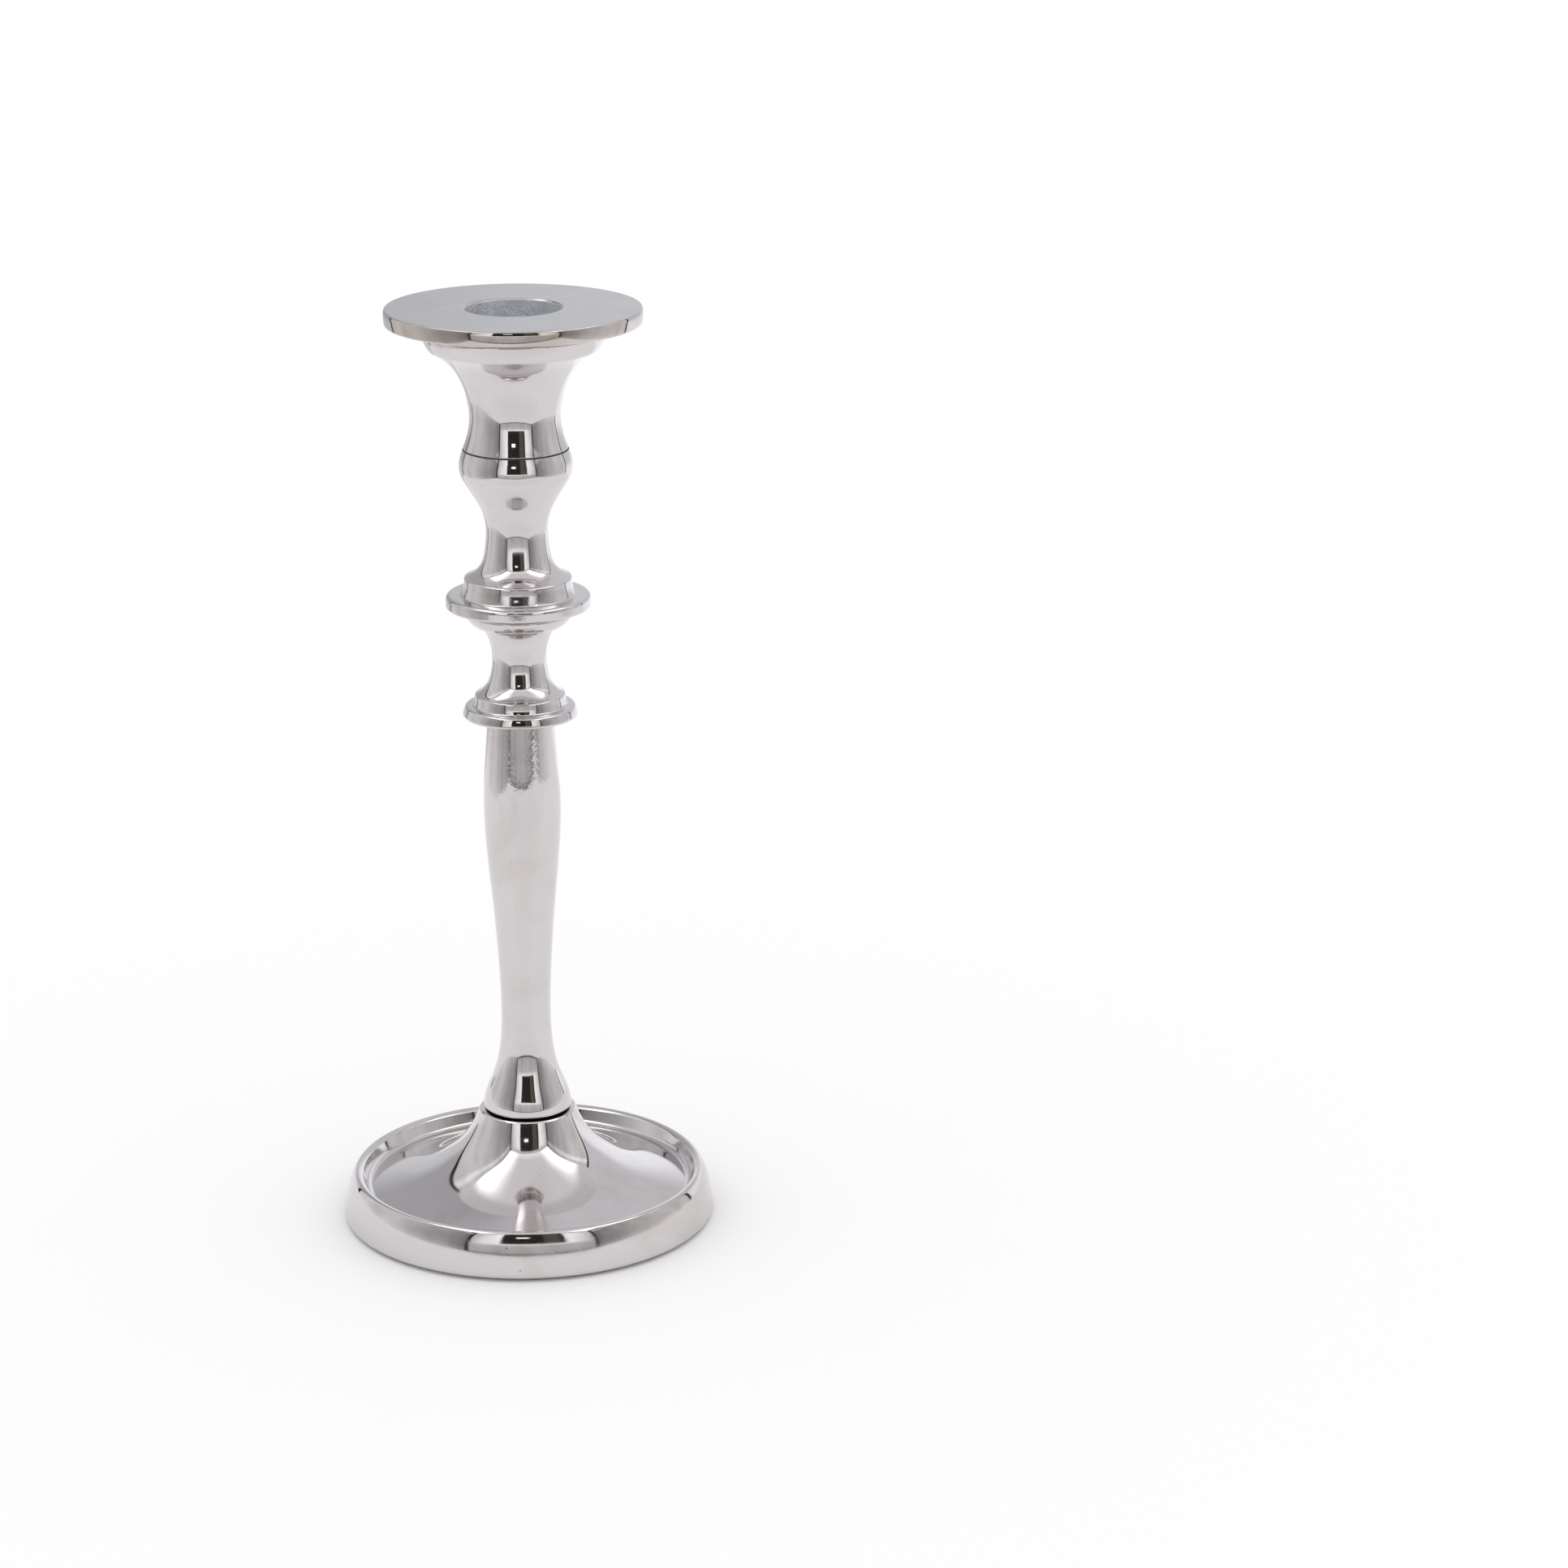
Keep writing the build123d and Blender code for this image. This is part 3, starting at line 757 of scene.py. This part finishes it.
def hardboard():
    """Pressed fibre board: brown, flecked, slightly waxy."""
    n = Nodes("hardboard")
    fibre = n.noise(n.stretched(n.place, (900.0, 900.0, 2400.0)), 1.0, 5.0, 0.75, 1.2)
    fleck = n.noise(n.place, 420.0, 3.0)
    base = n.blended(n.ranged(fibre, 0.3, 0.7, 0.0, 1.0), (0.17, 0.095, 0.05), (0.33, 0.21, 0.12))
    colour = n.blended(n.ranged(fleck, 0.62, 0.72, 0.0, 0.7), base, (0.09, 0.05, 0.03))
    roughness = n.ranged(fibre, 0.3, 0.7, 0.55, 0.8)
    normal = n.bump(fibre, 0.00012, 0.6)
    return n.paint(colour, roughness, normal)


def felt_cloth():
    """Black felt: matted fibres in all directions, with a soft sheen."""
    n = Nodes("felt")
    fibre = n.noise(n.place, 2200.0, 6.0, 0.8, 2.5)
    clump = n.noise(n.place, 500.0, 3.0)
    base = n.blended(n.ranged(fibre, 0.3, 0.7, 0.0, 1.0), (0.010, 0.011, 0.012), (0.040, 0.042, 0.045))
    colour = n.blended(n.ranged(clump, 0.35, 0.65, 0.0, 0.5), base, (0.022, 0.023, 0.026))
    n.put(0.35, n.shader.inputs["Sheen Weight"])
    n.put(0.5, n.shader.inputs["Sheen Roughness"])
    normal = n.bump(fibre, 0.0003, 0.8)
    return n.paint(colour, 0.95, normal)


# ---- Camera and surroundings ------------------------------------------------------------------------
# The camera's place in metres and its tilt from straight down; the lens and the sensor in mm
CAMERA_PLACE = (0.062665, -0.994571, 0.415734)
CAMERA_TILT = math.radians(72.891)
CAMERA_LENS, CAMERA_SENSOR = 99.93, 36.0


def make_camera():
    camera = bpy.data.cameras.new("camera")
    camera.sensor_width = CAMERA_SENSOR
    camera.lens = CAMERA_LENS
    camera.clip_start, camera.clip_end = 0.05, 20.0
    holder = bpy.data.objects.new("camera", camera)
    holder.location = CAMERA_PLACE
    holder.rotation_euler = (CAMERA_TILT, 0.0, 0.0)
    bpy.context.scene.collection.objects.link(holder)
    bpy.context.scene.camera = holder


def panel(name, corners, material):
    """A flat piece of the light tent, which shows only in reflections and casts no shadow."""
    mesh = bpy.data.meshes.new(name)
    mesh.from_pydata(corners, [], [tuple(range(len(corners)))])
    mesh.materials.append(material)
    flat = bpy.data.objects.new(name, mesh)
    bpy.context.scene.collection.objects.link(flat)
    flat.visible_camera = False
    flat.visible_diffuse = False
    flat.visible_shadow = False


# The tent, in metres: its walls, the opening in its front, and the dark room that shows through it
TENT_LEFT, TENT_RIGHT, TENT_FRONT, TENT_BACK, TENT_TOP = -0.42, 0.58, -0.60, 0.36, 0.65
SLOT_LEFT, SLOT_RIGHT, SLOT_LOW, SLOT_HIGH = -0.17, 0.31, 0.175, 0.60
ROOM_DEPTH = 0.05             # from the opening to the dark
ROOM_MARGIN = 0.05            # how far the dark reaches past the opening, above and below
ROOM_LAYER = 0.01             # from the dark to what stands before it: a paler strip and a lamp
STRIP_LEFT, STRIP_RIGHT = 0.14, 0.26
LAMP_LEFT, LAMP_RIGHT, LAMP_LOW, LAMP_HIGH = -0.06, 0.03, 0.385, 0.43
HALO_REACH = 0.25             # how far the brightness beside the opening goes
SEAM_CUT = 0.021              # each corner's seam cuts the corner off by this much
SEAM_OFF_WALL = 0.003         # keeps the front wall's seams clear of it
FLOOR_SEAM, TOP_SEAM = 0.014, 0.010
FLOOR_LIFT = 0.0015           # of the lit floor over the real one
FLOOR_END = -0.125            # where the lit floor ends before the candlestick
FLOOR_WIDTH = 8.0             # of the real floor

# The cloths give the light that the metal mirrors.  Strengths are shares of white, and the cloths'
# functions say between which places, in metres, the strength changes.
WARM, PLAIN, COOL = (1.0, 0.982, 0.985), (1.0, 0.99, 0.985), (0.955, 0.965, 1.0)
DARK, DUSK, DUST = (1.0, 0.96, 0.84), (1.0, 0.96, 0.80), (1.0, 0.95, 0.93)
HALO_LIGHT = 0.72             # beside the opening, over the front cloth's plain light
TOP_LIGHT = 2.2               # of the lamps that shine on the top cloth, along both sides
LAMP_LIGHT = 2.4              # of the lamp in the opening
STUDIO_LIGHT = 1.08           # of the world, all round


def folded(n, strength):
    """The soft folds of the tent's cloth."""
    folds = n.noise(n.stretched(n.place, (7.0, 7.0, 3.0)), 1.0, 2.0)
    return n.times(strength, n.ranged(folds, 0.3, 0.7, 0.86, 1.14))


def front_cloth():
    """Brightest beside the opening, dim toward the borders and near the floor."""
    n = Nodes("tent_front")
    x, _, z = n.position()
    aside = n.math("MAXIMUM", n.math("SUBTRACT", SLOT_LEFT, x), n.math("SUBTRACT", x, SLOT_RIGHT))
    halo = n.ranged(aside, 0.0, HALO_REACH, HALO_LIGHT, 0.0)
    halo = n.times(halo, n.eased(z, SLOT_LOW - 0.05, SLOT_LOW + 0.01, 0.0, 1.0))
    halo = n.times(halo, n.eased(z, SLOT_HIGH - 0.08, SLOT_HIGH + 0.01, 1.0, 0.1))
    plain = n.eased(z, 0.02, 0.15, 0.56, 0.64)
    return n.glow(WARM, folded(n, n.plus(halo, plain)))


def side_cloth():
    """Grey, darker toward the front corners, with a lighter band under the top."""
    n = Nodes("tent_side")
    _, y, z = n.position()
    depth = n.ranged(y, TENT_FRONT, 0.05, 0.20, 0.78)
    band = n.times(n.ranged(z, 0.47, 0.52, 0.0, 0.35), n.ranged(z, 0.55, 0.60, 1.0, 0.0))
    foot = n.eased(z, 0.0, 0.075, 0.12, 0.0)
    return n.glow(PLAIN, folded(n, n.plus(n.plus(depth, foot), band)))


def back_cloth():
    """Brightest near the floor, and in shade at the left."""
    n = Nodes("tent_back")
    x, _, z = n.position()
    shade = n.eased(x, -0.15, 0.02, 0.72, 1.10)
    return n.glow(COOL, n.times(shade, n.eased(z, 0.09, 0.20, 1.08, 0.72)))


def top_cloth():
    """Pale, with the light of the lamps on it along both sides."""
    n = Nodes("tent_top")
    x, y, _ = n.position()
    left = n.eased(x, TENT_LEFT, -0.13, TOP_LIGHT, 0.0)
    right = n.eased(x, 0.25, TENT_RIGHT, 0.0, TOP_LIGHT)
    lamps = n.times(n.plus(left, right), n.eased(y, 0.02, 0.21, 1.0, 0.06))
    front = n.eased(y, TENT_FRONT, -0.42, 0.35, 0.0)
    rear = n.eased(y, 0.10, 0.22, 0.84, 0.66)
    return n.glow(WARM, n.plus(n.plus(lamps, front), rear))


def floor_painted_shade():
    """A lit copy of the floor before the candlestick, seen only in reflections, with painted shade: a
    little darker in the middle.
    """
    n = Nodes("tent_floor")
    x, y, _ = n.position()
    across = n.times(n.eased(x, -0.26, -0.10, 0.0, 1.0), n.eased(x, 0.22, 0.38, 1.0, 0.0))
    along = n.times(n.eased(y, -0.28, -0.13, 1.0, 0.0), n.eased(y, -0.56, -0.36, 0.0, 1.0))
    return n.glow(PLAIN, n.math("SUBTRACT", 0.97, n.times(n.times(across, along), 0.05)))


def level(name, left, right, front, back, height, material):
    """A level panel."""
    corners = [(left, front, height), (right, front, height), (right, back, height), (left, back, height)]
    panel(name, corners, material)


def upright(name, x0, y0, x1, y1, low, high, material):
    """A panel that stands on the line from (x0, y0) to (x1, y1)."""
    corners = [(x0, y0, low), (x1, y1, low), (x1, y1, high), (x0, y0, high)]
    panel(name, corners, material)


def make_tent():
    """A white tent round the candlestick, open in front where the camera looks in."""
    left, right, front, back, top = TENT_LEFT, TENT_RIGHT, TENT_FRONT, TENT_BACK, TENT_TOP
    cloth, side, rear = front_cloth(), side_cloth(), back_cloth()
    dark = Nodes("tent_dark").glow(DARK, 0.03)
    dusk = Nodes("tent_dusk").glow(DUSK, 0.11)
    seam = Nodes("tent_seam").glow(DUST, 0.025)
    lamp = Nodes("tent_lamp").glow(WARM, LAMP_LIGHT)

    # Front wall round the opening
    upright("front_left", left, front, SLOT_LEFT, front, 0, top, cloth)
    upright("front_right", SLOT_RIGHT, front, right, front, 0, top, cloth)
    upright("front_low", SLOT_LEFT, front, SLOT_RIGHT, front, 0, SLOT_LOW, cloth)
    upright("front_high", SLOT_LEFT, front, SLOT_RIGHT, front, SLOT_HIGH, top, cloth)
    # The dark room behind the opening, with a paler strip and a lamp before it
    room = front - ROOM_DEPTH
    layer = room + ROOM_LAYER
    low, high = SLOT_LOW - ROOM_MARGIN, SLOT_HIGH + ROOM_MARGIN
    upright("opening", SLOT_LEFT, room, SLOT_RIGHT, room, low, high, dark)
    upright("opening_right", STRIP_LEFT, layer, STRIP_RIGHT, layer, low, high, dusk)
    upright("opening_lamp", LAMP_LEFT, layer, LAMP_RIGHT, layer, LAMP_LOW, LAMP_HIGH, lamp)
    # Side and back walls, top and floor
    upright("side_left", left, front, left, back, 0, top, side)
    upright("side_right", right, front, right, back, 0, top, side)
    upright("back", left, back, right, back, 0, top, rear)
    level("top", left, right, front, back, top, top_cloth())
    # The lit floor before the candlestick carries painted shade in its middle.
    level("floor_front", left, right, front, FLOOR_END, FLOOR_LIFT, floor_painted_shade())
    # Seams: one across each corner, and where the front wall meets the floor and the top
    for x, y in ((left, front), (right, front), (left, back), (right, back)):
        inward_x = math.copysign(SEAM_CUT, -x)
        inward_y = math.copysign(SEAM_CUT, -y)
        upright("seam", x + inward_x, y, x, y + inward_y, 0, top, seam)
    by_front = front + SEAM_OFF_WALL
    upright("seam_floor", left, by_front, right, by_front, 0, FLOOR_SEAM, seam)
    upright("seam_top", left, by_front, right, by_front, top - TOP_SEAM, top, seam)


def make_floor():
    """A plain pale floor, wide enough to have no edge in the picture."""
    half = FLOOR_WIDTH / 2
    mesh = bpy.data.meshes.new("floor")
    corners = [(-half, -half, 0), (half, -half, 0), (half, half, 0), (-half, half, 0)]
    mesh.from_pydata(corners, [], [(0, 1, 2, 3)])
    floor = bpy.data.objects.new("floor", mesh)
    bpy.context.scene.collection.objects.link(floor)
    material = bpy.data.materials.new("floor")
    material.use_nodes = True
    shader = material.node_tree.nodes["Principled BSDF"]
    shader.inputs["Base Color"].default_value = (0.93, 0.925, 0.925, 1)
    shader.inputs["Roughness"].default_value = 0.9
    shader.inputs["Specular IOR Level"].default_value = 0.0
    mesh.materials.append(material)


def make_light():
    """An even white studio, and colours shown as they are."""
    world = bpy.data.worlds.new("studio")
    bpy.context.scene.world = world
    world.use_nodes = True
    background = world.node_tree.nodes["Background"]
    background.inputs["Color"].default_value = (1, 1, 1, 1)
    background.inputs["Strength"].default_value = STUDIO_LIGHT
    bpy.context.scene.view_settings.view_transform = "Standard"


# ---- Build --------------------------------------------------------------------------------------------
make_camera()
# The seams' finish is painted shade, near-black.
finishes = {"polished": polished_metal(), "satin": satin_metal(), "cast": cast_metal(), "seam_shade": seam_shade()}
for node, outline in (
    ("foot", foot_outline()),
    ("stem", stem_outline()),
    ("knop_section", knop_outline()),
    ("candle_cup", cup_outline()),
):
    piece = turned(f"{node}_turned", outline, finishes)
    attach(piece, "root")
    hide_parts(node)

for material, nodes in (
    (zinc_steel(), ("tie_rod", "washer", "spring_washer", "nut")),
    (hardboard(), ("base_board",)),
):
    for node in nodes:
        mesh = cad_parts[node].data
        mesh.materials.clear()
        mesh.materials.append(material)

felt = felt_disc()
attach(felt, "root")
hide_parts("felt_pad")

make_floor()
make_tent()
make_light()
